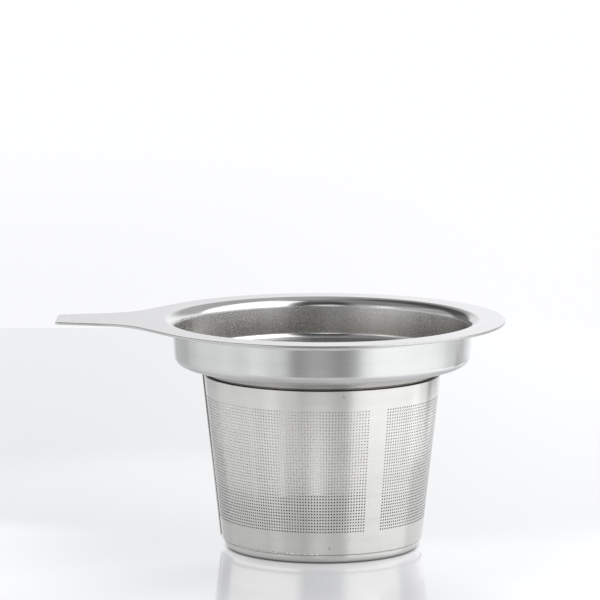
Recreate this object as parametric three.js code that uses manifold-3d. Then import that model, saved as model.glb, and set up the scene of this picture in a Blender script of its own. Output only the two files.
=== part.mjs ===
// Tea infuser basket that hangs in a mug: a drawn stainless steel rim with an integral handle,
// a rolled and perforated wall closed by a lap seam, and a shallow pressed pan as its bottom.
// Small spot welds join the three sheets.
//
// Millimetres, +Z up. The origin is the centre of the flat base, on the basket's axis.
// The handle points along -X, and the front is -Y. Angles run from +X towards +Y.

import * as THREE from 'three';
import { mergeVertices } from 'three/addons/utils/BufferGeometryUtils.js';
import Module from 'manifold-3d';

const wasm = await Module();
wasm.setup();

const radians = THREE.MathUtils.degToRad;

// ---- driving dimensions ----

const FACETS = 72; // facets round every turned surface
const FACET_ANGLE = 360 / FACETS;

// rim pressing: flange, collar, ledge and the neck that enters the wall
const RIM_SHEET = 0.6;
const FLANGE_RADIUS = 45;
const FLANGE_TOP = 56.6;
const FLANGE_FLAT_RADIUS = 38.9; // inside this radius the flange bends down into the collar
const FLANGE_BEND = 2.65; // top surface
const COLLAR_TAPER = radians(4);
const COLLAR_CORNER = 1.8; // inner surface, between collar and ledge
const LEDGE_TOP = 46.2;
const NECK_BEND = 1.6; // inner surface, between ledge and neck
const NECK_BOTTOM = 39.6;

// handle, one sheet with the flange
const HANDLE_TIP_X = -65.3;
const HANDLE_TIP_HALF_WIDTH = 6.75;
const HANDLE_TIP_CORNER = 1.2;
const HANDLE_WAIST_X = -55;
const HANDLE_WAIST_HALF_WIDTH = 8.8;
const HANDLE_BLEND_ANGLE = radians(34.7); // from -X, where the outline leaves the flange's circle
const HANDLE_ROOT_RADIUS = 42; // the handle's plate reaches this far into the flange

// perforated wall, a cone that widens upwards
const WALL_SHEET = 0.25;
const WALL_BOTTOM = 2.4;
const WALL_TOP = 43.1;
const WALL_TOP_RADIUS = 29.16; // outer surface
const WALL_SLOPE = 0.109; // radius gained per millimetre of height
const WALL_TILT = Math.atan(WALL_SLOPE);
const SEAM_ANGLE = 180; // the outer layer's free edge, in degrees
const SEAM_LAP = 6; // degrees of overlap
const SEAM_STEP_END = 10; // degrees from the free edge to where the outer layer is back in line

// bottom pan
const PAN_SHEET = 0.5;
const PAN_TOP = 6.6;
const PAN_CORNER = 1.7; // outer surface

// joints between the sheets
const SHEET_GAP = 0.15;
const WELD_RADIUS = 0.5;
const WELD_CLEARANCE = 0.03;
const WELD_FACETS = 12;
const NECK_WELD_HEIGHT = 41.7;
const NECK_WELD_ANGLES = [-79.7, 40.3, 160.3];
const BASE_WELD_HEIGHT = 4;
const BASE_WELD_ANGLES = [-85.6, 34.4, 154.4];
const SEAM_WELD_ANGLE = SEAM_ANGLE - SEAM_LAP / 2;
const SEAM_WELD_HEIGHTS = [5.5, 14.1, 22.7, 31.3, 39.9];

// ---- finishes ----

const polishedSteel = new THREE.MeshStandardMaterial({ color: 0xdcdcdd, roughness: 0.16, metalness: 1 });
const satinSteel = new THREE.MeshStandardMaterial({ color: 0xdcdbd9, roughness: 0.17, metalness: 1 });
const weldSteel = new THREE.MeshStandardMaterial({ color: 0xaca295, roughness: 0.3, metalness: 1 });

// ---- helpers ----

// Radius of the wall's outer surface at height z, moved inwards by a depth measured through the sheet.
function wallRadius(z, depth = 0) {
  return WALL_TOP_RADIUS - WALL_SLOPE * (WALL_TOP - z) - depth / Math.cos(WALL_TILT);
}

// A turned solid about Z from a closed profile of (radius, height) points.
function turn(profile) {
  const geometry = new THREE.LatheGeometry(profile, FACETS);
  geometry.rotateX(Math.PI / 2);
  return geometry;
}

function toManifold(geometry) {
  const bare = geometry.clone();
  bare.deleteAttribute('normal');
  bare.deleteAttribute('uv');
  const merged = mergeVertices(bare, 1e-4);
  return new wasm.Manifold(new wasm.Mesh({
    numProp: 3,
    vertProperties: new Float32Array(merged.attributes.position.array),
    triVerts: new Uint32Array(merged.index.array),
  }));
}

function toGeometry(solid) {
  const { vertProperties, triVerts } = solid.getMesh();
  const geometry = new THREE.BufferGeometry();
  geometry.setAttribute('position', new THREE.BufferAttribute(vertProperties, 3));
  geometry.setIndex(new THREE.BufferAttribute(triVerts, 1));
  geometry.computeVertexNormals();
  return geometry;
}

function place(group, name, geometry, material) {
  const mesh = new THREE.Mesh(geometry, material);
  mesh.name = name;
  group.add(mesh);
  return mesh;
}

// ---- rim pressing ----

// One face of the rim's sheet from the flange's edge to the neck's end: depth 0 is the top and
// inner face, and depth RIM_SHEET the underside and outer face. Every bend is an arc.
function rimFace(depth) {
  const bendCentre = new THREE.Vector2(FLANGE_FLAT_RADIUS, FLANGE_TOP - FLANGE_BEND);
  const wallStartRadius = bendCentre.x - FLANGE_BEND * Math.cos(COLLAR_TAPER);
  const wallStartZ = bendCentre.y + FLANGE_BEND * Math.sin(COLLAR_TAPER);
  const cornerZ = LEDGE_TOP + COLLAR_CORNER;
  const wallEndZ = cornerZ - COLLAR_CORNER * Math.sin(COLLAR_TAPER);
  const wallEndRadius = wallStartRadius - (wallStartZ - wallEndZ) * Math.tan(COLLAR_TAPER);
  const cornerRadius = wallEndRadius - COLLAR_CORNER * Math.cos(COLLAR_TAPER);
  const neckDepth = WALL_SHEET + SHEET_GAP + RIM_SHEET;
  const neckZ = LEDGE_TOP - NECK_BEND;
  const neckRadius = wallRadius(neckZ + NECK_BEND * Math.sin(WALL_TILT), neckDepth)
    + NECK_BEND * Math.cos(WALL_TILT);

  const face = new THREE.Path();
  face.moveTo(FLANGE_RADIUS, FLANGE_TOP - depth);
  face.lineTo(FLANGE_FLAT_RADIUS, FLANGE_TOP - depth);
  face.absarc(bendCentre.x, bendCentre.y, FLANGE_BEND - depth, Math.PI / 2, Math.PI - COLLAR_TAPER, false);
  face.absarc(cornerRadius, cornerZ, COLLAR_CORNER + depth, -COLLAR_TAPER, -Math.PI / 2, true);
  face.absarc(neckRadius, neckZ, NECK_BEND - depth, Math.PI / 2, Math.PI - WALL_TILT, false);
  face.lineTo(wallRadius(NECK_BOTTOM, neckDepth - depth), NECK_BOTTOM);
  return face.getPoints(3);
}

function handlePlate() {
  const blendX = -FLANGE_RADIUS * Math.cos(HANDLE_BLEND_ANGLE);
  const blendY = FLANGE_RADIUS * Math.sin(HANDLE_BLEND_ANGLE);
  const circlePull = 14; // lengths of the two tangents that shape the blend
  const waistPull = 9;
  const sideSlope = (HANDLE_WAIST_HALF_WIDTH - HANDLE_TIP_HALF_WIDTH) / (HANDLE_WAIST_X - HANDLE_TIP_X);
  const tipX = HANDLE_TIP_X + HANDLE_TIP_CORNER;
  const tipY = HANDLE_TIP_HALF_WIDTH - HANDLE_TIP_CORNER;
  const circleTangentX = blendX - circlePull * Math.sin(HANDLE_BLEND_ANGLE);
  const circleTangentY = blendY - circlePull * Math.cos(HANDLE_BLEND_ANGLE);
  const waistTangentX = HANDLE_WAIST_X + waistPull;
  const waistTangentY = HANDLE_WAIST_HALF_WIDTH + waistPull * sideSlope;

  const outline = new THREE.Shape();
  outline.moveTo(blendX, blendY);
  outline.bezierCurveTo(
    circleTangentX, circleTangentY, waistTangentX, waistTangentY, HANDLE_WAIST_X, HANDLE_WAIST_HALF_WIDTH,
  );
  outline.absarc(tipX, tipY, HANDLE_TIP_CORNER, Math.PI / 2, Math.PI, false);
  outline.absarc(tipX, -tipY, HANDLE_TIP_CORNER, Math.PI, Math.PI * 1.5, false);
  outline.lineTo(HANDLE_WAIST_X, -HANDLE_WAIST_HALF_WIDTH);
  outline.bezierCurveTo(
    waistTangentX, -waistTangentY, circleTangentX, -circleTangentY, blendX, -blendY,
  );
  outline.absarc(0, 0, HANDLE_ROOT_RADIUS, Math.PI + HANDLE_BLEND_ANGLE, Math.PI - HANDLE_BLEND_ANGLE, true);
  const plate = new THREE.ExtrudeGeometry(outline, { depth: RIM_SHEET, bevelEnabled: false, curveSegments: 8 });
  plate.translate(0, 0, FLANGE_TOP - RIM_SHEET);
  return plate;
}

function rimWithHandle() {
  const top = rimFace(0);
  const underside = rimFace(RIM_SHEET).reverse();
  const ring = turn([...top, ...underside, top[0]]);
  return toGeometry(toManifold(ring).add(toManifold(handlePlate())));
}

// ---- perforated wall ----

// The sheet's plan at the wall's top edge: once round from the free edge, then under itself.
// The outer layer stands off by one sheet and one gap where it laps the inner end.
function wallPlan() {
  const lift = WALL_SHEET + SHEET_GAP;
  const turns = [0, FACET_ANGLE, SEAM_LAP + 0.5];
  for (let angle = SEAM_STEP_END; angle <= 360 + FACET_ANGLE; angle += FACET_ANGLE) {
    turns.push(angle);
  }
  turns.push(360 + SEAM_LAP);
  const layer = (depth) => turns.map((angle) => {
    const radius = wallRadius(WALL_TOP, depth) + (angle < SEAM_STEP_END ? lift : 0);
    const direction = radians(SEAM_ANGLE - angle);
    return new THREE.Vector2(radius * Math.cos(direction), radius * Math.sin(direction));
  });
  return new THREE.Shape([...layer(0), ...layer(WALL_SHEET).reverse()]);
}

function perforatedWall() {
  const geometry = new THREE.ExtrudeGeometry(wallPlan(), { depth: WALL_TOP - WALL_BOTTOM, bevelEnabled: false });
  geometry.translate(0, 0, WALL_BOTTOM);
  const position = geometry.attributes.position;
  for (let i = 0; i < position.count; i += 1) {
    const x = position.getX(i);
    const y = position.getY(i);
    const radius = Math.hypot(x, y);
    const tapered = radius - WALL_SLOPE * (WALL_TOP - position.getZ(i));
    position.setXY(i, x * tapered / radius, y * tapered / radius);
  }
  geometry.computeVertexNormals();
  return geometry;
}

// ---- bottom pan ----

function panFace(depth) {
  const cornerZ = PAN_CORNER;
  const outerDepth = WALL_SHEET + SHEET_GAP;
  const cornerRadius = wallRadius(cornerZ - PAN_CORNER * Math.sin(WALL_TILT), outerDepth)
    - PAN_CORNER * Math.cos(WALL_TILT);
  const face = new THREE.Path();
  face.moveTo(0, depth);
  face.lineTo(cornerRadius, depth);
  face.absarc(cornerRadius, cornerZ, PAN_CORNER - depth, -Math.PI / 2, -WALL_TILT, false);
  face.lineTo(wallRadius(PAN_TOP, outerDepth + depth), PAN_TOP);
  return face.getPoints(3);
}

function bottomPan() {
  return turn([...panFace(0), ...panFace(PAN_SHEET).reverse()]);
}

// ---- spot welds: lens-shaped nuggets in the gap between two sheets ----

function weldNugget() {
  const halfThickness = SHEET_GAP / 2 - WELD_CLEARANCE;
  const profile = [
    new THREE.Vector2(0, -halfThickness),
    new THREE.Vector2(WELD_RADIUS * 0.7, -halfThickness * 0.8),
    new THREE.Vector2(WELD_RADIUS, 0),
    new THREE.Vector2(WELD_RADIUS * 0.7, halfThickness * 0.8),
    new THREE.Vector2(0, halfThickness),
  ];
  return new THREE.LatheGeometry(profile, WELD_FACETS);
}

// depth is how far the nugget's middle lies inside the wall's outer surface.
function addWeld(group, name, angle, height, depth) {
  const weld = place(group, name, weldNugget(), weldSteel);
  const direction = radians(angle);
  const radius = wallRadius(height, depth);
  const outwards = new THREE.Vector3(
    Math.cos(WALL_TILT) * Math.cos(direction),
    Math.cos(WALL_TILT) * Math.sin(direction),
    -Math.sin(WALL_TILT),
  );
  weld.position.set(radius * Math.cos(direction), radius * Math.sin(direction), height);
  weld.quaternion.setFromUnitVectors(new THREE.Vector3(0, 1, 0), outwards);
}

// ---- assembly ----

const infuser = new THREE.Group();
place(infuser, 'rim_with_handle', rimWithHandle(), polishedSteel);
place(infuser, 'perforated_wall', perforatedWall(), satinSteel);
place(infuser, 'bottom_pan', bottomPan(), satinSteel);

const underWall = WALL_SHEET + SHEET_GAP / 2;
const underLap = -SHEET_GAP / 2;
NECK_WELD_ANGLES.forEach((angle, i) => {
  addWeld(infuser, `neck_weld_${i + 1}`, angle, NECK_WELD_HEIGHT, underWall);
});
BASE_WELD_ANGLES.forEach((angle, i) => {
  addWeld(infuser, `base_weld_${i + 1}`, angle, BASE_WELD_HEIGHT, underWall);
});
SEAM_WELD_HEIGHTS.forEach((height, i) => {
  addWeld(infuser, `seam_weld_${i + 1}`, SEAM_WELD_ANGLE, height, underLap);
});

export default infuser;
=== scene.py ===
"""Visual model of the tea infuser basket.

It has a drawn rim with an integral handle, a rolled perforated wall closed by a lap seam, a shallow
pressed pan and the spot welds that join them. Shapes are worked out in millimetres, in the CAD frame:
+Z up, the handle along -X, the front -Y. Angles are in degrees and run from +X towards +Y.
"""

import math

import bpy
import numpy as np
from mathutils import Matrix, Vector
from mathutils.geometry import delaunay_2d_cdt


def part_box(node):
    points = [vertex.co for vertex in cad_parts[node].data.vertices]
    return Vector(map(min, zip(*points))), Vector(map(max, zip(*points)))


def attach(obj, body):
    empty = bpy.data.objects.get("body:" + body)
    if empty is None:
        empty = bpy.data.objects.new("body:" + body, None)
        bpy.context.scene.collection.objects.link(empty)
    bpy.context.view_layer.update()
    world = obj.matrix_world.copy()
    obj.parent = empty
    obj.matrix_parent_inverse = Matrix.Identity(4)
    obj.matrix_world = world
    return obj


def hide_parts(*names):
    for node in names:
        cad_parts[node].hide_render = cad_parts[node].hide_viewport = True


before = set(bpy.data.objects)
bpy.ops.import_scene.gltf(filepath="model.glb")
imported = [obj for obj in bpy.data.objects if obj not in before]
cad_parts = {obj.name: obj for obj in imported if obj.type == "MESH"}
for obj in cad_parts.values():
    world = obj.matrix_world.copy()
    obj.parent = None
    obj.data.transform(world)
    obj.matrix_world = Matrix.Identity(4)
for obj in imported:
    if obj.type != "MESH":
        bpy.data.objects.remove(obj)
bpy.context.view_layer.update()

MM = 0.001
BODY = "root"
CREASE_COSINE = 0.98


def top_of(node):
    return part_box(node)[1]


# ---- driving dimensions, in millimetres ----

# rim pressing
RIM_SHEET = 0.6
FLANGE_RADIUS = top_of("rim_with_handle")[0] / MM
FLANGE_TOP = top_of("rim_with_handle")[2] / MM
FLANGE_FLAT_RADIUS = 38.9
FLANGE_BEND = 2.65
COLLAR_TAPER = math.radians(4)
COLLAR_CORNER = 1.8
LEDGE_TOP = 46.2
NECK_BEND = 1.6
NECK_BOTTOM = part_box("rim_with_handle")[0][2] / MM
EDGE_ROUND = 0.16
RELIEF_TOP = 43.75
RELIEF_BOTTOM = 42.9
RELIEF_DEPTH = 0.35

# faces nearer the axis than this belong to the neck and the basket, the others to the collar and the flange
NECK_SIDE_RADIUS = 32.5

# handle
HANDLE_TIP_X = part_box("rim_with_handle")[0][0] / MM
HANDLE_TIP_HALF_WIDTH = 6.75
HANDLE_TIP_CORNER = 1.2
HANDLE_WAIST_X = -55
HANDLE_WAIST_HALF_WIDTH = 8.8
HANDLE_BLEND_ANGLE = math.radians(34.7)
HANDLE_CIRCLE_PULL = 14  # lengths of the two tangents that shape the blend
HANDLE_WAIST_PULL = 9

# perforated wall
WALL_SHEET = 0.25
WALL_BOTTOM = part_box("perforated_wall")[0][2] / MM
WALL_TOP = top_of("perforated_wall")[2] / MM
WALL_TOP_RADIUS = 29.16
WALL_SLOPE = 0.109
WALL_TILT = math.atan(WALL_SLOPE)
SHEET_GAP = 0.15
SEAM_ANGLE = 180
SEAM_LAP = 6
SEAM_LIFT_END = 6.5
SEAM_STEP_END = 10
HOLE = 0.37
HOLE_SQUARENESS = 0.8
ROWS = 41
COLUMNS = 73
ROW_PITCH = 0.7468
COLUMN_PITCH = 1.518
TOP_ROW = 37.913
PANEL_STARTS = (6.7, 126.7, 246.7)  # turn from the free edge to the first column's centre
SECTOR_ENDS = (0, 121.35, 241.35, 360 + SEAM_LAP)
SHEET_WAVE = 0.012

# bottom pan
PAN_SHEET = 0.5
PAN_TOP = top_of("bottom_pan")[2] / MM
PAN_CORNER = 1.7
FLOOR_HOLES_RADIUS = 18.3
FLOOR_RIM_RADIUS = FLOOR_HOLES_RADIUS + 1.2
FLOOR_PITCH = 0.75
FLOOR_HOLES_MARGIN = 0.75  # pitches between the last holes' centres and the edge of their circle

# spot welds
WELD_RADIUS = 0.46
WELD_RING_HEIGHT = 0.07
WELD_DISH_HEIGHT = 0.012
WELD_ROOT = -0.02
NECK_WELD_ANGLES = (-79.7, 40.3, 160.3)
NECK_WELD_HEIGHT = 41.7
BASE_WELD_ANGLES = (-85.6, 34.4, 154.4)
BASE_WELD_HEIGHT = 4.0
SEAM_WELD_HEIGHTS = (5.5, 14.1, 22.7, 31.3, 39.9)

# rough edge along the base seam
FLASH_ANGLES = (-152, -88)
FLASH_FADE = 40  # stations at each end
FLASH_THINNEST = 0.06
FLASH_LUMP = 0.26
FLASH_TIP = 0.004
FLASH_SUNK = 0.02
FLASH_RISE = 0.08
FLASH_WANDER = 0.05
FLASH_STRETCH = 1.4

# steps along curves and facets round the axis
HANDLE_BLEND_STEPS = 48
HANDLE_SIDE_STEPS = 12
HANDLE_CORNER_STEPS = 12
HANDLE_TIP_STEPS = 6
FLANGE_STEPS = 300
FLANGE_FLAT_STEPS = 6
EDGE_STEPS = 5
WALL_SIDE_STEPS = 8  # in the plain bands beside and below a panel of holes
WALL_TOP_STEPS = 6
PAN_FACETS = 240
WELD_FACETS = 24
FLASH_STATIONS = 420
FLASH_FACETS = 6

# ---- floor and camera, in metres and degrees ----

FLOOR_BACK = 0.362
FLOOR_FRONT = -1.6
FLOOR_SIDE = 1.6
FLOOR_ROUGHNESS = 0.09
BASE_SHADE = (0.0226, 0.0246)  # distances from the axis where the base's shade ends
CAMERA_LENS = 263.09
CAMERA_PLACE = (0, -1.0665, 0.2138)
CAMERA_PITCH = 8.143
CAMERA_YAW = 0.2924

# ---- vectors and meshes ----


def cylindrical(radius, angle, height):
    """Points from radius, angle in degrees and height, which may be arrays of one shape."""
    turn = np.radians(angle)
    return np.stack(np.broadcast_arrays(radius * np.cos(turn), radius * np.sin(turn), height), axis=-1)


def unit(vectors):
    return vectors / np.linalg.norm(vectors, axis=-1, keepdims=True)


def mark_creases(mesh, normals):
    """Marks an edge sharp where the two faces that share it have different normals along it."""
    edge_of = np.empty(len(mesh.loops), dtype=np.int32)
    mesh.loops.foreach_get("edge_index", edge_of)
    starts = np.empty(len(mesh.polygons), dtype=np.int32)
    mesh.polygons.foreach_get("loop_start", starts)
    following = np.arange(1, len(edge_of) + 1)
    following[np.append(starts[1:], len(edge_of)) - 1] = starts
    one, other = np.argsort(edge_of, kind="stable").reshape(-1, 2).T
    alike = np.minimum(
        (normals[one] * normals[following[other]]).sum(axis=1),
        (normals[following[one]] * normals[other]).sum(axis=1),
    )
    mesh.edges.foreach_set("use_edge_sharp", alike < CREASE_COSINE)


def new_mesh(name, points, faces):
    """A smooth-shaded mesh in metres, from points in millimetres."""
    mesh = bpy.data.meshes.new(name)
    mesh.from_pydata((np.asarray(points) * MM).tolist(), [], [list(face) for face in faces])
    mesh.shade_smooth()
    return mesh


def add_piece(mesh, material, stands_for=()):
    """Puts a mesh into the scene as a piece of the object."""
    mesh.materials.append(material)
    piece = bpy.data.objects.new(mesh.name, mesh)
    bpy.context.collection.objects.link(piece)
    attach(piece, BODY)
    if stands_for:
        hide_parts(*stands_for)


def make_piece(name, points, faces, normals, material, slot, stands_for):
    """A piece with its own normals: one vector for each corner of each face."""
    mesh = new_mesh(name, points, faces)
    normals = np.asarray(normals).reshape(-1, 3)
    mark_creases(mesh, normals)
    mesh.normals_split_custom_set(normals.tolist())
    add_piece(mesh, material, stands_for)


def grid_faces(index, flip=False):
    """Quads over a 2D array of vertex numbers."""
    corners = [index[:-1, :-1], index[1:, :-1], index[1:, 1:], index[:-1, 1:]]
    quads = np.stack(corners, axis=-1).reshape(-1, 4)
    return quads[:, ::-1] if flip else quads


def face_normals(points, faces):
    corners = np.asarray(points)[faces]
    return unit(np.cross(corners[:, 2] - corners[:, 0], corners[:, 3] - corners[:, 1]))


# ---- profiles ----
# A profile is a list of strips. Each strip is a list of rows (radius, height, normal radius, normal height),
# and a strip starts where the last one ended, so a crease is where their normals differ.


def arc(centre_r, centre_z, radius, start, end, steps, inwards=False):
    """A strip round an arc. Its normals point away from the centre, or towards it if inwards."""
    sign = -1 if inwards else 1
    turns = [(math.cos(angle), math.sin(angle)) for angle in np.linspace(start, end, steps + 1)]
    return [(centre_r + radius * c, centre_z + radius * s, sign * c, sign * s) for c, s in turns]


def line(start, end, normal, steps=1):
    return [
        (start[0] + (end[0] - start[0]) * t, start[1] + (end[1] - start[1]) * t, *normal)
        for t in np.linspace(0, 1, steps + 1)
    ]


def wall_radius(height, depth=0):
    """Radius of the wall's outer surface at a height, moved inwards by a depth through the sheet."""
    return WALL_TOP_RADIUS - WALL_SLOPE * (WALL_TOP - height) - depth / math.cos(WALL_TILT)


# ---- node fields: numbers in a shader tree, combined with ordinary operators ----


class Field:
    def __init__(self, tree, socket):
        self.tree = tree
        self.socket = socket

    def math(self, operation, *others):
        node = self.tree.nodes.new("ShaderNodeMath")
        node.operation = operation
        for target, value in zip(node.inputs, (self, *others)):
            connect(self.tree, value, target)
        return Field(self.tree, node.outputs[0])

    def __add__(self, other):
        return self.math("ADD", other)

    def __sub__(self, other):
        return self.math("SUBTRACT", other)

    def __mul__(self, other):
        return self.math("MULTIPLY", other)

    def __truediv__(self, other):
        return self.math("DIVIDE", other)

    def ramp(self, low, high, to_low=0.0, to_high=1.0):
        """Smooth step from to_low at low to to_high at high."""
        node = self.tree.nodes.new("ShaderNodeMapRange")
        node.interpolation_type = "SMOOTHSTEP"
        limits = {"From Min": low, "From Max": high, "To Min": to_low, "To Max": to_high}
        for name, value in limits.items():
            node.inputs[name].default_value = value
        self.tree.links.new(self.socket, node.inputs["Value"])
        return Field(self.tree, node.outputs["Result"])

    def window(self, low, high, soft):
        """1 between low and high, falling to 0 within soft of each end."""
        return self.ramp(low - soft, low + soft) * self.ramp(high - soft, high + soft, 1.0, 0.0)

    def colours(self, low, high):
        """Colour from low to high as the number goes from 0 to 1."""
        node = self.tree.nodes.new("ShaderNodeMix")
        node.data_type = "RGBA"
        self.tree.links.new(self.socket, node.inputs["Factor"])
        node.inputs["A"].default_value = (*low, 1)
        node.inputs["B"].default_value = (*high, 1)
        return Field(self.tree, node.outputs["Result"])


def connect(tree, value, target):
    if isinstance(value, Field):
        tree.links.new(value.socket, target)
    else:
        target.default_value = value


def combine(tree, x, y, z):
    node = tree.nodes.new("ShaderNodeCombineXYZ")
    for value, target in zip((x, y, z), node.inputs):
        connect(tree, value, target)
    return Field(tree, node.outputs[0])


def split_vector(tree, socket):
    node = tree.nodes.new("ShaderNodeSeparateXYZ")
    tree.links.new(socket, node.inputs[0])
    return [Field(tree, output) for output in node.outputs]


def noise(tree, vector, scale, detail=2.0, roughness=0.5):
    node = tree.nodes.new("ShaderNodeTexNoise")
    tree.links.new(vector.socket, node.inputs["Vector"])
    node.inputs["Scale"].default_value = scale
    node.inputs["Detail"].default_value = detail
    node.inputs["Roughness"].default_value = roughness
    return Field(tree, node.outputs["Fac"])


# ---- materials ----

# scales of the steel's patterns, per metre
MOTTLE_SCALE = 900.0
CLOUD_SCALE = 70.0
BAND_EDGE_SCALE = 260.0
FACING_SCALE = 160.0
STREAK_SCALE = 170.0
SPECKLE_SCALE = 2600.0

MEAN_RADIUS = 0.03  # metres; turns an angle round the axis into a length
INSIDE_SMOOTHING = 0.85  # how much of the grain's relief the faces inside lose
HOLES_FROM = (6.7, 7.0)  # heights where the holes begin, and where the painted shade on their sides ends
DARK_HOLES_TO = (15.0, 18.0)
SEAM_EDGE = (3.125, 3.135)  # radians either way from +X


def multiply(tree, colour, factor, tint):
    """The colour, multiplied by the tint as far as factor says."""
    node = tree.nodes.new("ShaderNodeMix")
    node.data_type = "RGBA"
    node.blend_type = "MULTIPLY"
    connect(tree, factor, node.inputs["Factor"])
    tree.links.new(colour.socket, node.inputs["A"])
    node.inputs["B"].default_value = (*tint, 1)
    return Field(tree, node.outputs["Result"])


def steel(
    name, dark, light, smooth, rough, grain_scale, grain_height, mottle_height, stretch,
    inside=None, bands=(),
):
    """Stainless steel with a fine grain drawn out round the axis, cloudy colour and uneven polish.

    dark and light are the ends of the colour, smooth and rough the ends of the roughness, and stretch is
    how many times longer the grain is round the axis than across it. Heights are in millimetres.

    inside describes the faces that look towards the axis. facing is how squarely they have to look at it,
    and floor is how much a face that looks up counts as well. Their colour is multiplied by tint, which
    fades over the heights in fade, with streaks round the axis: a tint that darkens stands for their duller
    tone together with painted shade, which the fade makes deeper downwards, and one that lightens is painted
    light. Their roughness grows by roughness, and speckle makes it finely uneven. low_tint, painted shade,
    is for the upright ones below the heights in low, and hole_tint, painted shade too, for the sides of the
    wall's holes.

    Each band is a strip between two heights on the outside of the neck and basket, or with cut_edge on the
    upright faces farther out.
    """
    material = bpy.data.materials.new(name)
    material.use_nodes = True
    tree = material.node_tree
    shader = tree.nodes["Principled BSDF"]
    shader.inputs["Metallic"].default_value = 1.0
    x, y, z = split_vector(tree, tree.nodes.new("ShaderNodeTexCoord").outputs["Object"])
    nx, ny, nz = split_vector(tree, tree.nodes.new("ShaderNodeNewGeometry").outputs["Normal"])
    radius = (x * x + y * y).math("SQRT")
    angle = y.math("ARCTAN2", x)
    outwards = (x * nx + y * ny) / radius
    unrolled = angle * MEAN_RADIUS
    place = combine(tree, x, y, z)
    drawn_out = combine(tree, angle * (MEAN_RADIUS / stretch), radius, z)

    grain = noise(tree, drawn_out, grain_scale, 3.0, 0.6)
    mottle = noise(tree, place, MOTTLE_SCALE)
    clouds = noise(tree, place, CLOUD_SCALE, 3.0)
    wear = noise(tree, drawn_out, grain_scale * 0.2)
    colour = (clouds * 0.6 + wear * 0.4).ramp(0.3, 0.7).colours(dark, light)
    gloss = (clouds * 0.5 + grain * 0.5).ramp(0.3, 0.7, smooth, rough)
    relief = grain_height * MM

    for band in bands:
        far_out = radius.ramp(NECK_SIDE_RADIUS * MM, (NECK_SIDE_RADIUS + 0.2) * MM)
        edge = noise(tree, combine(tree, unrolled, z, 0.0), BAND_EDGE_SCALE, 3.0, 0.6) - 0.5
        height = z + edge * (band["uneven"] * MM)
        mask = height.window(band["low"] * MM, band["high"] * MM, band["soft"] * MM)
        mask = mask * outwards.ramp(-0.2, 0.2)
        if band["cut_edge"]:
            mask = mask * (nx * nx + ny * ny).math("SQRT").ramp(0.7, 0.8) * far_out
        else:
            mask = mask * (far_out * -1.0 + 1.0)
        colour = multiply(tree, colour, mask, band["tint"])
        gloss = gloss + mask * band["roughness"]

    if inside:
        facing = outwards * -1.0 + (noise(tree, place, FACING_SCALE) - 0.5) * 0.04
        inwards = facing.math("MAXIMUM", nz * inside["floor"]).ramp(*inside["facing"])
        shade = inwards
        # the inside's tint, its duller tone and painted shade, strongest at the bottom of the heights in
        # fade
        if "fade" in inside:
            low, high = inside["fade"]
            streaks = noise(tree, combine(tree, unrolled, z * 0.12, 0.0), STREAK_SCALE, 3.0, 0.6)
            shade = shade * (z.ramp(low * MM, high * MM, 1.0, 0.35) + (streaks - 0.5) * inside["streaks"])
        colour = multiply(tree, colour, shade, inside["tint"])
        # painted shade on the upright inner faces low down: the pan's inner wall
        if "low" in inside:
            low, high = inside["low"]
            below = facing.ramp(*inside["facing"]) * z.ramp(low * MM, high * MM, 1.0, 0.0)
            colour = multiply(tree, colour, below, inside["low_tint"])
        if "hole_tint" in inside:
            # painted shade on the sides of the wall's holes, deepest in the lower rows
            sides = outwards.math("ABSOLUTE").ramp(0.35, 0.65, 1.0, 0.0)
            sides = sides * z.ramp(HOLES_FROM[0] * MM, HOLES_FROM[1] * MM)
            sides = sides * angle.math("ABSOLUTE").ramp(*SEAM_EDGE, 1.0, 0.0)
            sides = sides * z.ramp(DARK_HOLES_TO[0] * MM, DARK_HOLES_TO[1] * MM, 1.0, 0.1)
            colour = multiply(tree, colour, sides, inside["hole_tint"])
        speckle = noise(tree, place, SPECKLE_SCALE, 2.0, 0.7)
        gloss = gloss + inwards * inside["roughness"] + (speckle - 0.5) * inwards * inside["speckle"]
        relief = (inwards * -INSIDE_SMOOTHING + 1.0) * relief

    tree.links.new(colour.socket, shader.inputs["Base Color"])
    tree.links.new(gloss.socket, shader.inputs["Roughness"])
    bump = tree.nodes.new("ShaderNodeBump")
    bump.inputs["Distance"].default_value = 1.0
    height = grain * relief + mottle * (mottle_height * MM)
    tree.links.new(height.socket, bump.inputs["Height"])
    tree.links.new(bump.outputs["Normal"], shader.inputs["Normal"])
    return material


# painted shade on the outside of the neck, below the ledge
NECK_SHADE_BAND = {
    "low": 43.72, "high": 46.5, "soft": 0.12, "uneven": 0.0, "cut_edge": False,
    "tint": (0.56, 0.55, 0.53), "roughness": 0.08,
}
# painted shade in the narrow groove above the wall's top edge, dark as a shaded crevice
GROOVE_SHADE_BAND = {
    "low": 42.7, "high": 43.66, "soft": 0.1, "uneven": 0.4, "cut_edge": False,
    "tint": (0.25, 0.235, 0.22), "roughness": 0.15,
}
FLANGE_EDGE_BAND = {
    "low": 55.9, "high": 56.7, "soft": 0.02, "uneven": 0.0, "cut_edge": True,
    "tint": (0.8, 0.8, 0.8), "roughness": 0.15,
}
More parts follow.
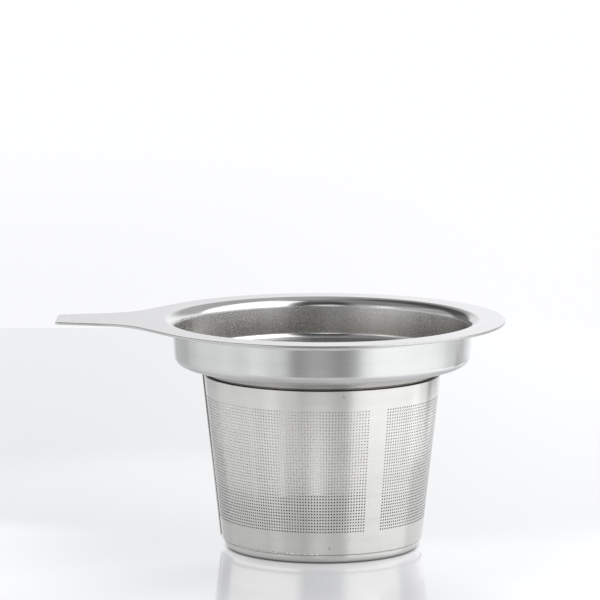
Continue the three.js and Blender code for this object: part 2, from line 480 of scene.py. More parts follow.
# painted shade on the pan, just under the wall's lower edge
BASE_SEAM_SHADE_BAND = {
    "low": 2.0, "high": 2.38, "soft": 0.15, "uneven": 0.4, "cut_edge": False,
    "tint": (0.58, 0.56, 0.54), "roughness": 0.1,
}
POLISHED = steel(
    "polished_steel", dark=(0.70, 0.70, 0.69), light=(0.77, 0.77, 0.76), smooth=0.11, rough=0.18,
    grain_scale=2500.0, grain_height=0.0006, mottle_height=0.0006, stretch=40.0,
    # inside: the inner faces' duller brown-grey tone, with painted shade that deepens towards the bottom
    inside={
        "facing": (0.95, 0.985), "floor": 0.0, "roughness": 0.15, "tint": (0.62, 0.595, 0.57),
        "fade": (47.8, 53.8), "streaks": 0.9, "speckle": 0.2,
    },
    bands=(NECK_SHADE_BAND, GROOVE_SHADE_BAND, FLANGE_EDGE_BAND),
)
SATIN = steel(
    "satin_steel", dark=(0.71, 0.70, 0.675), light=(0.78, 0.77, 0.745), smooth=0.12, rough=0.19,
    grain_scale=3000.0, grain_height=0.0004, mottle_height=0.0006, stretch=25.0,
    # inside: the tint above 1 is painted light on the inner faces and the pan's floor; the low tint is
    # painted shade on the pan's inner wall, and the hole tint painted shade on the holes' sides
    inside={
        "facing": (0.3, 0.8), "floor": 1.0, "roughness": 0.12, "tint": (1.12, 1.11, 1.09),
        "low": (7.5, 9.5), "low_tint": (0.18, 0.176, 0.172), "hole_tint": (0.15, 0.145, 0.14),
        "speckle": 0.1,
    },
    bands=(BASE_SEAM_SHADE_BAND,),
)
WELD = steel(
    "weld_steel", dark=(0.44, 0.40, 0.35), light=(0.66, 0.62, 0.57), smooth=0.18, rough=0.32,
    grain_scale=4000.0, grain_height=0.002, mottle_height=0.004, stretch=1.0,
)
FLASH = steel(
    "seam_flash", dark=(0.70, 0.69, 0.66), light=(0.86, 0.85, 0.83), smooth=0.15, rough=0.30,
    grain_scale=6000.0, grain_height=0.004, mottle_height=0.006, stretch=1.0,
)

# ---- rim with handle ----


def handle_outline():
    """Half of the handle's outline, from the flange's circle to the middle of the tip, on the +Y side."""
    blend = np.array([-math.cos(HANDLE_BLEND_ANGLE), math.sin(HANDLE_BLEND_ANGLE)]) * FLANGE_RADIUS
    along_circle = np.array([-math.sin(HANDLE_BLEND_ANGLE), -math.cos(HANDLE_BLEND_ANGLE)])
    waist = np.array([HANDLE_WAIST_X, HANDLE_WAIST_HALF_WIDTH])
    slope = (HANDLE_WAIST_HALF_WIDTH - HANDLE_TIP_HALF_WIDTH) / (HANDLE_WAIST_X - HANDLE_TIP_X)
    circle_pull = blend + along_circle * HANDLE_CIRCLE_PULL
    waist_pull = waist + np.array([1, slope]) * HANDLE_WAIST_PULL
    pulls = [blend, circle_pull, waist_pull, waist]
    t = np.linspace(0, 1, HANDLE_BLEND_STEPS + 1)[:, None]
    curve = sum(
        math.comb(3, k) * t**k * (1 - t)**(3 - k) * pull
        for k, pull in enumerate(pulls)
    )
    corner = np.array([HANDLE_TIP_X + HANDLE_TIP_CORNER, HANDLE_TIP_HALF_WIDTH - HANDLE_TIP_CORNER])
    side_end = corner + [0, HANDLE_TIP_CORNER]
    side = waist + (side_end - waist) * np.linspace(0, 1, HANDLE_SIDE_STEPS + 1)[1:, None]
    turn = np.linspace(math.pi / 2, math.pi, HANDLE_CORNER_STEPS + 1)[1:]
    round_end = corner + HANDLE_TIP_CORNER * np.stack([np.cos(turn), np.sin(turn)], axis=-1)
    tip_y = np.linspace(round_end[-1][1], 0, HANDLE_TIP_STEPS + 1)[1:]
    tip = np.array([[HANDLE_TIP_X, y] for y in tip_y])
    return np.concatenate([curve, side, round_end, tip])


def rim_outline():
    """The flange's outline with the handle, once round, and the outward normal at each point."""
    half = handle_outline()
    handle = np.concatenate([half, half[-2::-1] * [1, -1]])
    start = math.pi + HANDLE_BLEND_ANGLE
    turn = np.linspace(start, 3 * math.pi - HANDLE_BLEND_ANGLE, FLANGE_STEPS + 1)[1:-1]
    circle = FLANGE_RADIUS * np.stack([np.cos(turn), np.sin(turn)], axis=-1)
    outline = np.concatenate([handle, circle])
    tangent = unit(np.roll(outline, -1, axis=0) - np.roll(outline, 1, axis=0))
    return outline, np.stack([tangent[:, 1], -tangent[:, 0]], axis=-1)


def rim_strips():
    """The pressing's section from the flange's flat, down inside, round the neck's end and up outside."""
    up = (0, 1)
    down = (0, -1)
    taper = COLLAR_TAPER
    bend_z = FLANGE_TOP - FLANGE_BEND
    wall_start_r = FLANGE_FLAT_RADIUS - FLANGE_BEND * math.cos(taper)
    corner_z = LEDGE_TOP + COLLAR_CORNER
    wall_height = bend_z + FLANGE_BEND * math.sin(taper) - corner_z + COLLAR_CORNER * math.sin(taper)
    corner_r = wall_start_r - wall_height * math.tan(taper) - COLLAR_CORNER * math.cos(taper)
    neck_depth = WALL_SHEET + SHEET_GAP + RIM_SHEET
    neck_z = LEDGE_TOP - NECK_BEND
    neck_top_r = wall_radius(neck_z + NECK_BEND * math.sin(WALL_TILT), neck_depth)
    neck_r = neck_top_r + NECK_BEND * math.cos(WALL_TILT)
    half_turn = math.pi
    quarter = math.pi / 2

    def joined(before, after, normal, steps=1):
        return line(before[-1][:2], after[0][:2], normal, steps)

    bend_in = arc(FLANGE_FLAT_RADIUS, bend_z, FLANGE_BEND, quarter, half_turn - taper, 18)
    corner_in = arc(corner_r, corner_z, COLLAR_CORNER, -taper, -quarter, 14, inwards=True)
    neck_in = arc(neck_r, neck_z, NECK_BEND, quarter, half_turn - WALL_TILT, 12)
    inner_end = [(wall_radius(NECK_BOTTOM, neck_depth), NECK_BOTTOM + EDGE_ROUND)]
    neck_out = arc(neck_r, neck_z, NECK_BEND - RIM_SHEET, half_turn - WALL_TILT, quarter, 12, inwards=True)
    corner_out = arc(corner_r, corner_z, COLLAR_CORNER + RIM_SHEET, -quarter, -taper, 16)
    bend_out_radius = FLANGE_BEND - RIM_SHEET
    bend_out = arc(FLANGE_FLAT_RADIUS, bend_z, bend_out_radius, half_turn - taper, quarter, 14, inwards=True)

    face = neck_depth - RIM_SHEET
    outwards = (math.cos(WALL_TILT), -math.sin(WALL_TILT))
    inwards = (-outwards[0], -outwards[1])
    end_r = (wall_radius(NECK_BOTTOM, neck_depth) + wall_radius(NECK_BOTTOM, face)) / 2
    end_out = [(wall_radius(NECK_BOTTOM, face), NECK_BOTTOM + EDGE_ROUND)]
    relief_low = [(wall_radius(RELIEF_BOTTOM, face), RELIEF_BOTTOM)]
    groove = [
        (wall_radius(RELIEF_BOTTOM, face + RELIEF_DEPTH), RELIEF_BOTTOM + EDGE_ROUND),
        (wall_radius(RELIEF_TOP, face + RELIEF_DEPTH), RELIEF_TOP - EDGE_ROUND),
    ]
    relief_high = [(wall_radius(RELIEF_TOP, face), RELIEF_TOP)]
    collar_in = (-math.cos(taper), math.sin(taper))
    collar_out = (math.cos(taper), -math.sin(taper))
    return [
        bend_in,
        joined(bend_in, corner_in, collar_in, 3),
        corner_in,
        joined(corner_in, neck_in, up, 3),
        neck_in,
        joined(neck_in, inner_end, inwards, 3),
        line(inner_end[0], (end_r, NECK_BOTTOM), unit(np.array([-1, -1]))),
        line((end_r, NECK_BOTTOM), end_out[0], unit(np.array([1, -1]))),
        line(end_out[0], relief_low[0], outwards, 2),
        line(relief_low[0], groove[0], up),
        line(groove[0], groove[1], outwards),
        line(groove[1], relief_high[0], down),
        joined(relief_high, neck_out, outwards, 2),
        neck_out,
        joined(neck_out, corner_out, down, 3),
        corner_out,
        joined(corner_out, bend_out, collar_out, 3),
        bend_out,
    ]


def ring_quads(ring, next_ring, from_normals, to_normals):
    """Quads between two rings of vertices, closed all round, and the normals of their corners."""
    after = np.roll(np.arange(len(ring)), -1)
    faces = np.stack([ring, ring[after], next_ring[after], next_ring], axis=-1)
    normals = np.stack([from_normals, from_normals[after], to_normals[after], to_normals], axis=1)
    return faces, normals


def build_rim():
    outline, outward = rim_outline()
    angles = np.degrees(np.arctan2(outline[:, 1], outline[:, 0]))
    count = len(outline)
    underside = FLANGE_TOP - RIM_SHEET

    def flat_row(plan, height, lift):
        normals = np.tile([0.0, 0.0, lift], (count, 1))
        return np.column_stack([plan, np.full(count, height)]), normals

    def edge_row(angle, face, lift):
        """A row of the rounded edge at an angle from a flat face that looks up or down, as lift says."""
        inset = EDGE_ROUND * (1 - math.sin(angle))
        height = face - lift * EDGE_ROUND * (1 - math.cos(angle))
        points = np.column_stack([outline - outward * inset, np.full(count, height)])
        return points, np.column_stack([outward * math.sin(angle), np.full(count, lift * math.cos(angle))])

    # each section is a list of rows of points and normals, from one crease to the next
    sections = [
        [
            (cylindrical(radius, angles, height), cylindrical(normal_r, angles, normal_z))
            for radius, height, normal_r, normal_z in strip
        ]
        for strip in rim_strips()
    ]
    inner = cylindrical(FLANGE_FLAT_RADIUS, angles, 0)[:, :2]
    outer = outline - outward * EDGE_ROUND
    plans = [inner + (outer - inner) * t for t in np.linspace(0, 1, FLANGE_FLAT_STEPS + 1)]
    quarter = math.pi / 2
    lower_round = [edge_row(angle, underside, -1) for angle in np.linspace(0, quarter, EDGE_STEPS + 1)]
    upper_round = [edge_row(angle, FLANGE_TOP, 1) for angle in np.linspace(quarter, 0, EDGE_STEPS + 1)]
    sections += [
        [flat_row(plan, underside, -1.0) for plan in plans],
        lower_round,
        [lower_round[-1], upper_round[0]],
        upper_round,
        [flat_row(plan, FLANGE_TOP, 1.0) for plan in plans[::-1]],
    ]

    # one ring of vertices for each row, shared where a section starts at the last one's end
    first = np.arange(count)
    ring = first
    points = [sections[0][0][0]]
    faces = []
    normals = []
    steps = [step for section in sections for step in zip(section, section[1:])]
    for number, ((_points, from_normals), (next_points, to_normals)) in enumerate(steps, 1):
        if number == len(steps):
            next_ring = first
        else:
            next_ring = first + len(points) * count
            points.append(next_points)
        new_faces, new_normals = ring_quads(ring, next_ring, from_normals, to_normals)
        faces.append(new_faces)
        normals.append(new_normals)
        ring = next_ring
    make_piece(
        "rim_with_handle_visual", np.concatenate(points), np.concatenate(faces), np.concatenate(normals),
        POLISHED, "polished_steel", ["rim_with_handle"],
    )


# ---- perforated wall ----


def lap_lift(turn):
    """How far the outer layer stands off the cone at a turn from the free edge, in degrees."""
    t = np.clip((turn - SEAM_LIFT_END) / (SEAM_STEP_END - SEAM_LIFT_END), 0, 1)
    return (WALL_SHEET + SHEET_GAP) * (1 - t * t * (3 - 2 * t))


def sheet_wave(turn, height):
    """The rolled sheet isn't a perfect cone: a slight wave, nil at its ends."""
    turned = np.radians(turn)
    wave = np.sin(5 * turned + 0.08 * height) + 0.6 * np.sin(11 * turned - 0.05 * height + 1.3)
    wave = wave + 0.5 * np.sin(0.21 * height + 2 * turned)
    return SHEET_WAVE * wave * np.clip(turn / 20, 0, 1) * np.clip((360 - turn) / 20, 0, 1)


def wall_point(turn, height, depth):
    """A point of the wall at a turn from the free edge, a height and a depth through the sheet."""
    radius = wall_radius(height, depth) + lap_lift(turn) + sheet_wave(turn, height)
    return cylindrical(radius, SEAM_ANGLE - turn, height)


def wall_normal(turn, height):
    nudge = 0.05
    along = wall_point(turn + nudge, height, 0) - wall_point(turn - nudge, height, 0)
    upwards = wall_point(turn, height + nudge, 0) - wall_point(turn, height - nudge, 0)
    return unit(np.cross(upwards, along))


# the eight places round a hole's cell, as (column, row) steps from its corner, and the hole's own shape
CELL_RING = np.array([(0, 0), (1, 0), (2, 0), (2, 1), (2, 2), (1, 2), (0, 2), (0, 1)])
HOLE_RING = CELL_RING - 1
HOLE_RING_REACH = np.where(np.abs(HOLE_RING).sum(axis=1) == 2, HOLE_SQUARENESS, 1.0)[:, None] * HOLE_RING


class Sheet:
    """Collects the vertices, faces and corner normals of a perforated sheet."""

    def __init__(self):
        self.points = []
        self.point_count = 0
        self.faces = []
        self.normals = []

    def add_points(self, points):
        flat = points.reshape(-1, 3)
        index = np.arange(len(flat)) + self.point_count
        self.points.append(flat)
        self.point_count += len(flat)
        return index.reshape(points.shape[:-1])

    def add_faces(self, faces, normals):
        self.faces += faces.tolist()
        self.normals.append(normals.reshape(-1, 3))

    def ring_faces(self, outer, inner, outer_normals, inner_normals, flip):
        """Quads between two rings of eight, for many rings at once: arrays of (holes, 8)."""
        after = np.roll(np.arange(8), -1)
        faces = np.stack([outer, outer[:, after], inner[:, after], inner], axis=-1).reshape(-1, 4)
        normals = np.stack(
            [outer_normals, outer_normals[:, after], inner_normals[:, after], inner_normals], axis=2,
        ).reshape(-1, 4, 3)
        if flip:
            faces = faces[:, ::-1]
            normals = normals[:, ::-1]
        self.add_faces(faces, normals)

    def mesh_arrays(self):
        """Vertices that no face uses are dropped."""
        points = np.concatenate(self.points)
        used = np.zeros(len(points), dtype=bool)
        for size in {len(face) for face in self.faces}:
            used[np.array([face for face in self.faces if len(face) == size]).ravel()] = True
        number = np.cumsum(used) - 1
        faces = [number[face].tolist() for face in self.faces]
        return points[used], faces, np.concatenate(self.normals)


def spread(start, end, count):
    """count + 1 even steps without the last one."""
    return np.linspace(start, end, count + 1)[:-1]


def build_wall_sector(name, start, end, first_column, stands_for):
    """One third of the wall's sheet: a plain band, a panel of holes and a plain band, closed all round."""
    half_column = COLUMN_PITCH / 2
    half_row = ROW_PITCH / 2
    panel_turns = first_column - half_column + half_column * np.arange(2 * COLUMNS + 1)
    panel_heights = TOP_ROW + half_row - half_row * (2 * ROWS - np.arange(2 * ROWS + 1))
    before = spread(start, panel_turns[0], WALL_SIDE_STEPS)
    after = np.linspace(panel_turns[-1], end, WALL_SIDE_STEPS + 1)[1:]
    below = spread(WALL_BOTTOM, panel_heights[0], WALL_SIDE_STEPS)
    above = np.linspace(panel_heights[-1], WALL_TOP, WALL_TOP_STEPS + 1)[1:]
    turns = np.concatenate([before, panel_turns, after])
    heights = np.concatenate([below, panel_heights, above])
    turn_grid, height_grid = np.meshgrid(turns, heights, indexing="ij")

    sheet = Sheet()
    outer = sheet.add_points(wall_point(turn_grid, height_grid, 0))
    inner = sheet.add_points(wall_point(turn_grid, height_grid, WALL_SHEET))
    normal_grid = wall_normal(turn_grid, height_grid)
    flat_normals = normal_grid.reshape(-1, 3)

    # plain quads everywhere but in the panel
    column_from = len(before)
    row_from = len(below)
    cells = np.arange(len(turns) - 1), np.arange(len(heights) - 1)
    cell_column, cell_row = np.meshgrid(*cells, indexing="ij")
    in_panel = (
        (cell_column >= column_from) & (cell_column < column_from + 2 * COLUMNS)
        & (cell_row >= row_from) & (cell_row < row_from + 2 * ROWS)
    ).ravel()
    facing_in = grid_faces(outer)[~in_panel]
    facing_out = facing_in[:, ::-1]
    sheet.add_faces(facing_out, flat_normals[facing_out])
    sheet.add_faces(facing_in + outer.size, -flat_normals[facing_in])

    # holes
    hole_column, hole_row = np.meshgrid(np.arange(COLUMNS), np.arange(ROWS), indexing="ij")
    ring_column = column_from + 2 * hole_column.reshape(-1, 1) + CELL_RING[:, 0]
    ring_row = row_from + 2 * hole_row.reshape(-1, 1) + CELL_RING[:, 1]
    centre_turn = turns[column_from + 1 + 2 * hole_column.reshape(-1, 1)]
    centre_height = heights[row_from + 1 + 2 * hole_row.reshape(-1, 1)]
    centre_radius = wall_radius(centre_height)
    hole_turn = centre_turn + np.degrees(HOLE / 2 / centre_radius) * HOLE_RING_REACH[:, 0]
    hole_height = centre_height + HOLE / 2 * HOLE_RING_REACH[:, 1]
    hole_outer = sheet.add_points(wall_point(hole_turn, hole_height, 0))
    hole_inner = sheet.add_points(wall_point(hole_turn, hole_height, WALL_SHEET))
    ring_normals = normal_grid[ring_column, ring_row]
    hole_normals = wall_normal(hole_turn, hole_height)
    centres = wall_point(centre_turn, centre_height, 0)
    towards_centre = unit(centres - wall_point(hole_turn, hole_height, 0))
    sheet.ring_faces(outer[ring_column, ring_row], hole_outer, ring_normals, hole_normals, flip=True)
    sheet.ring_faces(inner[ring_column, ring_row], hole_inner, -ring_normals, -hole_normals, flip=False)
    sheet.ring_faces(hole_outer, hole_inner, towards_centre, towards_centre, flip=True)

    # the sheet's four edges
    for edge_outer, edge_inner, flip in (
        (outer[:, 0], inner[:, 0], False), (outer[:, -1], inner[:, -1], True),
        (outer[0], inner[0], True), (outer[-1], inner[-1], False),
    ):
        faces = grid_faces(np.stack([edge_outer, edge_inner]), flip)
        points = np.concatenate(sheet.points)
        sheet.add_faces(faces, np.repeat(face_normals(points, faces), 4, axis=0))
    make_piece(name, *sheet.mesh_arrays(), SATIN, "satin_steel", stands_for)


# ---- bottom pan ----


def pan_strips():
    """The pan's section from the floor's rim outside, up the side, over the lip and down inside."""
    taper = WALL_TILT
    outer_depth = WALL_SHEET + SHEET_GAP
    side_start_r = wall_radius(PAN_CORNER - PAN_CORNER * math.sin(taper), outer_depth)
    corner_r = side_start_r - PAN_CORNER * math.cos(taper)
    outwards = (math.cos(taper), -math.sin(taper))
    inwards = (-outwards[0], -outwards[1])
    corner_out = arc(corner_r, PAN_CORNER, PAN_CORNER, -math.pi / 2, -taper, 16)
    corner_in = arc(corner_r, PAN_CORNER, PAN_CORNER - PAN_SHEET, -taper, -math.pi / 2, 12, inwards=True)
    lip_out = (wall_radius(PAN_TOP, outer_depth), PAN_TOP)
    lip_in = (wall_radius(PAN_TOP, outer_depth + PAN_SHEET), PAN_TOP)
    return [
        line((FLOOR_RIM_RADIUS, 0), corner_out[0][:2], (0, -1), 4),
        corner_out,
        line(corner_out[-1][:2], lip_out, outwards, 4),
        line(lip_out, lip_in, (0, 1)),
        line(lip_in, corner_in[0][:2], inwards, 4),
        corner_in,
        line(corner_in[-1][:2], (FLOOR_RIM_RADIUS, PAN_SHEET), (0, 1), 4),
    ]


def floor_cells():
    """The square cells, in pitches from the axis, that lie within the perforated circle."""
    farthest = FLOOR_HOLES_RADIUS / FLOOR_PITCH - FLOOR_HOLES_MARGIN
    steps = range(-math.ceil(farthest), math.ceil(farthest) + 1)
    return [(i, j) for i in steps for j in steps if math.hypot(i, j) <= farthest]


def build_pan():
    angles = np.arange(PAN_FACETS) * 360 / PAN_FACETS
    sheet = Sheet()
    ring = sheet.add_points(cylindrical(FLOOR_RIM_RADIUS, angles, 0))
    floor_ring = ring
    for strip in pan_strips():
        for (_r, _z, from_r, from_z), (radius, height, to_r, to_z) in zip(strip, strip[1:]):
            next_ring = sheet.add_points(cylindrical(radius, angles, height))
            from_normals = cylindrical(from_r, angles, from_z)
            to_normals = cylindrical(to_r, angles, to_z)
            sheet.add_faces(*ring_quads(ring, next_ring, from_normals, to_normals))
            ring = next_ring
    top_ring = ring

    # the floor's cells: a half-step grid, kept once for each face of the sheet
    number = {}
    steps = []
    rings = []
    cells = floor_cells()
    for i, j in cells:
        cell = []
        for di, dj in HOLE_RING:
            key = (2 * i + int(di), 2 * j + int(dj))
            if key not in number:
                number[key] = len(steps)
                steps.append(key)
            cell.append(number[key])
        rings.append(cell)
    rings = np.array(rings)
    grid = np.array(steps) * (FLOOR_PITCH / 2)
    centres = np.array(cells) * FLOOR_PITCH
    hole_xy = centres[:, None, :] + HOLE / 2 * HOLE_RING_REACH[None, :, :]
    towards = np.concatenate([-unit(HOLE_RING.astype(float)), np.zeros((8, 1))], axis=1)
    towards = np.broadcast_to(towards, (len(cells), 8, 3))

    # plain metal between the cells and the pan's bend, as triangles
    edge_count = {}
    for cell in rings:
        for a, b in zip(cell, np.roll(cell, -1)):
            edge_count[frozenset((a, b))] = edge_count.get(frozenset((a, b)), 0) + 1
    border = [tuple(edge) for edge, count in edge_count.items() if count == 1]
    circle = cylindrical(FLOOR_RIM_RADIUS, angles, 0)[:, :2]
    plan = [Vector(p) for p in grid] + [Vector(p) for p in circle]
    circle_edges = [(len(grid) + k, len(grid) + (k + 1) % PAN_FACETS) for k in range(PAN_FACETS)]
    # 1 keeps the triangles within the edges given, 1e-6 mm is the distance at which points merge
    fill = delaunay_2d_cdt(plan, border + circle_edges, [], 1, 1e-6)
    found, _edges, triangles, originals = fill[:4]
    covered = set(cells)
    ringed = []
    for triangle in triangles:
        centre = sum((found[k] for k in triangle), Vector((0, 0))) / 3
        if (round(centre.x / FLOOR_PITCH), round(centre.y / FLOOR_PITCH)) not in covered:
            ringed.append([originals[k][0] for k in triangle])
    ringed = np.array(ringed)

    for height, lift, rim_ring, flip in ((0, -1, floor_ring, True), (PAN_SHEET, 1, top_ring, False)):
        face_points = sheet.add_points(np.column_stack([grid, np.full(len(grid), height)]))
        hole_heights = np.full((len(cells), 8, 1), height)
        hole_points = sheet.add_points(np.concatenate([hole_xy, hole_heights], axis=2))
        straight = np.broadcast_to(np.array([0.0, 0.0, lift]), (len(cells), 8, 3))
        sheet.ring_faces(face_points[rings], hole_points, straight, straight, flip)
        lookup = np.concatenate([face_points, rim_ring])
        faces = lookup[ringed]
        if flip:
            faces = faces[:, ::-1]
        sheet.add_faces(faces, np.broadcast_to(np.array([0.0, 0.0, lift]), (len(faces), 3, 3)))
        if flip:
            low_holes = hole_points
        else:
            sheet.ring_faces(hole_points, low_holes, towards, towards, flip=False)
    make_piece("bottom_pan_visual", *sheet.mesh_arrays(), SATIN, "satin_steel", ["bottom_pan"])


# ---- weld marks and the seam's flash ----


def build_weld(node, turn, height):
    """A spot weld's mark on the outer surface: a raised ring round a shallow dish."""
    # radius and rise above the sheet, from the foot over the ring to the middle of the dish
    rings = [
        (WELD_RADIUS, WELD_ROOT), (WELD_RADIUS * 0.86, WELD_RING_HEIGHT * 0.3),
        (WELD_RADIUS * 0.72, WELD_RING_HEIGHT), (WELD_RADIUS * 0.58, WELD_RING_HEIGHT * 0.85),
        (WELD_RADIUS * 0.42, WELD_DISH_HEIGHT * 2), (WELD_RADIUS * 0.2, WELD_DISH_HEIGHT),
        (0.02, WELD_DISH_HEIGHT),
    ]
    turn = np.array(float(turn))
    height = np.array(float(height))
    centre = wall_point(turn, height, 0)
    outwards = wall_normal(turn, height)
    across = unit(np.cross(outwards, [0.0, 0.0, 1.0]))
    upwards = np.cross(across, outwards)
    spin = np.radians(np.arange(WELD_FACETS) * 360 / WELD_FACETS)
    uneven = 1 + 0.06 * np.sin(3 * spin + turn) + 0.04 * np.sin(5 * spin + height)
    points = []
    for radius, rise in rings:
        reach = radius * uneven
        round_weld = np.outer(reach * np.cos(spin), across) + np.outer(reach * np.sin(spin), upwards)
        points.append(centre + round_weld + outwards * rise)
    index = np.arange(len(rings) * WELD_FACETS).reshape(len(rings), WELD_FACETS)
    faces = grid_faces(np.concatenate([index, index[:, :1]], axis=1)).tolist()
    faces += [index[-1].tolist(), index[0][::-1].tolist()]
    mesh = new_mesh(node + "_visual", np.concatenate(points), faces)
    add_piece(mesh, WELD, [node])


def build_flash():
    """The rough edge left where the wall was welded to the pan, on the front-left of the seam."""
    generator = np.random.default_rng(7)
    count = FLASH_STATIONS
    angles = np.linspace(*FLASH_ANGLES, count)
    from_end = np.minimum(np.arange(count), count - 1 - np.arange(count))
    ease = np.clip(from_end / FLASH_FADE, 0, 1)
    lumps = np.convolve(generator.random(count + 6), np.ones(3) / 3, mode="same")[3:-3]
    wander = np.convolve(generator.normal(0, 1, count + 18), np.ones(7) / 7, mode="same")[9:-9]
    thick = (FLASH_THINNEST + FLASH_LUMP * lumps**2) * ease + FLASH_TIP
    spin = np.arange(FLASH_FACETS) * 2 * math.pi / FLASH_FACETS
    radius = wall_radius(WALL_BOTTOM) - FLASH_SUNK + np.outer(thick, np.cos(spin))
    height = WALL_BOTTOM + FLASH_RISE + (wander * FLASH_WANDER * ease)[:, None]
    height = height + np.outer(thick, np.sin(spin)) * FLASH_STRETCH
    points = cylindrical(radius, angles[:, None], height).reshape(-1, 3)
    index = np.arange(len(points)).reshape(count, FLASH_FACETS)
    faces = grid_faces(np.concatenate([index, index[:, :1]], axis=1), flip=True).tolist()
    faces += [index[0].tolist(), index[-1][::-1].tolist()]
    add_piece(new_mesh("base_seam_flash", points, faces), FLASH)


build_rim()
for number, (start, end, first) in enumerate(zip(SECTOR_ENDS, SECTOR_ENDS[1:], PANEL_STARTS), 1):
    build_wall_sector(f"perforated_wall_{number}", start, end, first, ["perforated_wall"])
build_pan()
for number, angle in enumerate(NECK_WELD_ANGLES, 1):
    build_weld(f"neck_weld_{number}", SEAM_ANGLE - angle, NECK_WELD_HEIGHT)
for number, angle in enumerate(BASE_WELD_ANGLES, 1):
    build_weld(f"base_weld_{number}", SEAM_ANGLE - angle, BASE_WELD_HEIGHT)
for number, height in enumerate(SEAM_WELD_HEIGHTS, 1):
    build_weld(f"seam_weld_{number}", SEAM_LAP / 2, height)
build_flash()

# ---- floor, light and camera ----


def build_floor():
    """A pale glossy table top. Its far edge is the faint horizon behind the object.

    Its colour, with painted shade and light, and its glow, which is painted light, are laid out by azimuth,
    in degrees from the front towards +X, and by distance from the object's axis, in metres.
    """
    corners = [
        (-FLOOR_SIDE, FLOOR_FRONT, 0), (FLOOR_SIDE, FLOOR_FRONT, 0),
        (FLOOR_SIDE, FLOOR_BACK, 0), (-FLOOR_SIDE, FLOOR_BACK, 0),
    ]
    mesh = bpy.data.meshes.new("floor")
    mesh.from_pydata(corners, [], [(0, 1, 2, 3)])
    material = bpy.data.materials.new("floor")
    material.use_nodes = True
    tree = material.node_tree
    shader = tree.nodes["Principled BSDF"]
    shader.inputs["Roughness"].default_value = FLOOR_ROUGHNESS
    x, y, _z = split_vector(tree, tree.nodes.new("ShaderNodeTexCoord").outputs["Object"])
    azimuth = x.math("ARCTAN2", y * -1.0) * (180 / math.pi)
    distance = (x * x + y * y).math("SQRT")

    # what the steel sees darker, painted shade in the floor's colour and glow: the side towards the camera,
    # and a strip and a notch at the back right
    near = azimuth.ramp(-33, -16) * azimuth.ramp(12, 40, 1.0, 0.0) * distance.ramp(0.12, 0.175, 0.0, 0.52)
    near = near + azimuth.window(-14, 6, 12) * distance.ramp(0.08, 0.175, 0.08, 0.28)
    fall = azimuth.ramp(90, 122, 0.0, 0.30) * azimuth.ramp(142, 150, 1.0, 0.0)
    strip = (azimuth.window(126, 137, 2) * 0.55).math("MAXIMUM", fall) * distance.window(0.19, 0.5, 0.005)
    notch = azimuth.window(119, 129, 2) * x.ramp(0.09, 0.11) * distance.ramp(0.15, 0.2, 0.3, 0.75)
    notch = notch * distance.ramp(0.24, 0.28, 1.0, 0.0)
    lit = near.math("MAXIMUM", strip.math("MAXIMUM", notch)) * -1.0 + 1.0
    # painted light: the floor's colour a little lighter towards the right
    bright = x.ramp(-0.12, 0.12, 0.22, 0.26)
    colour = (bright * lit).colours((0, 0, 0), (1.0, 1.0, 1.01))
    tree.links.new(colour.socket, shader.inputs["Base Color"])

    # what it sees brighter, painted light in the floor's glow: the front left, the right, two places behind,
    # and a little all over
    left = azimuth.window(-108, 14, 8) * distance.ramp(0.04, 0.10, 0.0, 0.15)
    left = left - azimuth.window(-68, -34, 8) * distance.ramp(0.165, 0.19, 0.0, 0.07)
    right = distance.ramp(0.05, 0.11, 0.06, 0.24) + distance.ramp(0.16, 0.19, 0.0, 0.06)
    right = azimuth.ramp(15, 46) * azimuth.ramp(76, 122, 1.0, 0.0) * right
    behind_right = azimuth.window(94, 145, 8) * x.ramp(0.082, 0.105, 0.0, 0.36)
    behind_right = behind_right * distance.ramp(0.14, 0.18, 1.0, 0.1)
    behind_left = azimuth.window(-150, -108, 8) * x.ramp(-0.105, -0.085, 0.10, 0.0)
    behind_left = behind_left * distance.ramp(0.16, 0.2, 1.0, 0.0)
    all_over = x.ramp(-0.10, 0.10, 0.385, 0.46)
    close_left = azimuth.window(-170, -48, 16) * distance.ramp(0.11, 0.16, 0.08, 0.02)
    glow = left + right + behind_right + behind_left + all_over + close_left
    # none under the base, so that it meets the floor in the dark
    glow = glow * distance.ramp(*BASE_SHADE)
    shader.inputs["Emission Color"].default_value = (0.99, 1.0, 1.02, 1)
    tree.links.new((glow * lit).socket, shader.inputs["Emission Strength"])
    mesh.materials.append(material)
    floor = bpy.data.objects.new("floor", mesh)
    bpy.context.collection.objects.link(floor)


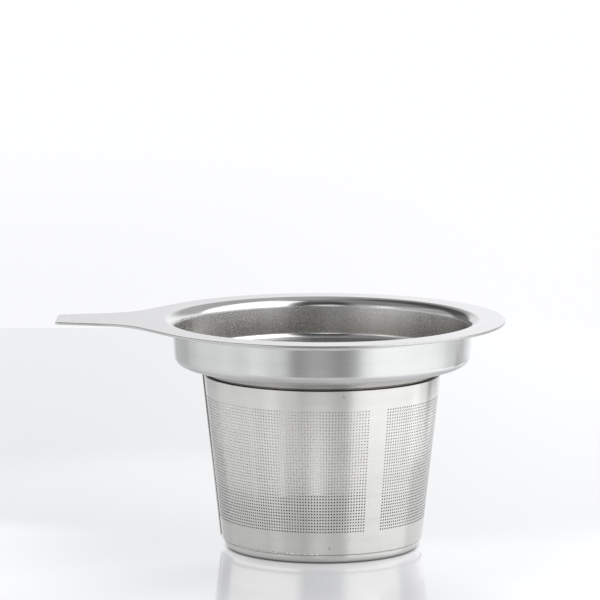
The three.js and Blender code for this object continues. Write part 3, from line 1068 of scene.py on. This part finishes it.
def build_world():
    """A white studio: bright behind and to the sides, dim overhead and dark where the camera stands.

    It is laid out by azimuth, in degrees from the front towards +X, and by elevation.
    """
    world = bpy.data.worlds.new("studio")
    bpy.context.scene.world = world
    world.use_nodes = True
    tree = world.node_tree
    shade = tree.nodes["Background"]
    x, y, z = split_vector(tree, tree.nodes.new("ShaderNodeTexCoord").outputs["Generated"])
    azimuth = x.math("ARCTAN2", y * -1.0) * (180 / math.pi)
    elevation = z.math("ARCSINE") * (180 / math.pi)

    # the backdrop, and the room on the camera's side
    at_back = azimuth.math("ABSOLUTE").ramp(95, 125)
    in_front = at_back * -1.0 + 1.0
    backdrop = elevation.ramp(10, 24, 0.98, 0.44) * x.ramp(-0.06, 0.06, 0.90, 1.09)
    base = backdrop * at_back + elevation.ramp(8, 22, 1.0, 0.55) * in_front

    # lamps: a large key on the right and two spots in front
    key = azimuth.window(30, 112, 4) * (elevation.window(23, 73, 5) + elevation.window(16, 37, 4) * 1.2)
    spots = azimuth.window(-14, 6, 10) * elevation.window(13, 26, 5) * 1.6
    spots = spots + azimuth.window(-60, -44, 6) * elevation.window(13, 26, 5) * 0.8

    # flags: the camera's own gap, one at the back on either side and one on the left
    camera_gap = azimuth.ramp(-33, -18) * azimuth.ramp(15, 36, 1.0, 0.0) * elevation.ramp(50, 80, 1.0, 0.0)
    flags = azimuth.window(-160, -126, 4) * elevation.ramp(30, 45, 0.9, 0.3)
    flags = flags + azimuth.window(98, 146, 4) * elevation.ramp(3, 9, 1.0, 0.0)
    flags = flags + azimuth.window(-124, -84, 10) * elevation.window(9, 21, 4) * 0.45
    dim_left = x.ramp(-0.3, -0.05, 0.28, 0.0) * elevation.ramp(28, 42)
    dim = dim_left.math("MAXIMUM", elevation.ramp(45, 72, 0.0, 0.28) * in_front)
    above = (base - dim) * (camera_gap.math("MAXIMUM", flags) * -0.85 + 1.0) + key * 1.15 + spots

    # the table top goes on beyond the floor's edges, slightly paler towards the horizon
    below = elevation.ramp(-8.1, -5.5) * x.ramp(-0.06, 0.05, 0.05, 0.01) + x.ramp(-0.06, 0.05, 0.95, 0.99)
    sky = elevation.ramp(-2.5, -1.5)
    level = above * sky + below * (sky * -1.0 + 1.0)
    tree.links.new(level.socket, shade.inputs["Strength"])
    shade.inputs["Color"].default_value = (0.995, 1.0, 1.02, 1)


def add_camera():
    data = bpy.data.cameras.new("camera")
    data.lens = CAMERA_LENS
    data.sensor_width = 36
    data.clip_end = 20
    camera = bpy.data.objects.new("camera", data)
    camera.location = CAMERA_PLACE
    pitch = math.radians(90 - CAMERA_PITCH)
    yaw = math.radians(CAMERA_YAW)
    look = Vector((-math.sin(yaw) * math.sin(pitch), math.cos(yaw) * math.sin(pitch), -math.cos(pitch)))
    camera.rotation_euler = (-look).to_track_quat("Z", "Y").to_euler()
    bpy.context.collection.objects.link(camera)
    bpy.context.scene.camera = camera


build_floor()
build_world()
add_camera()
bpy.context.scene.view_settings.view_transform = "Standard"
bpy.context.scene.cycles.denoising_prefilter = "NONE"  # keeps the small holes apart
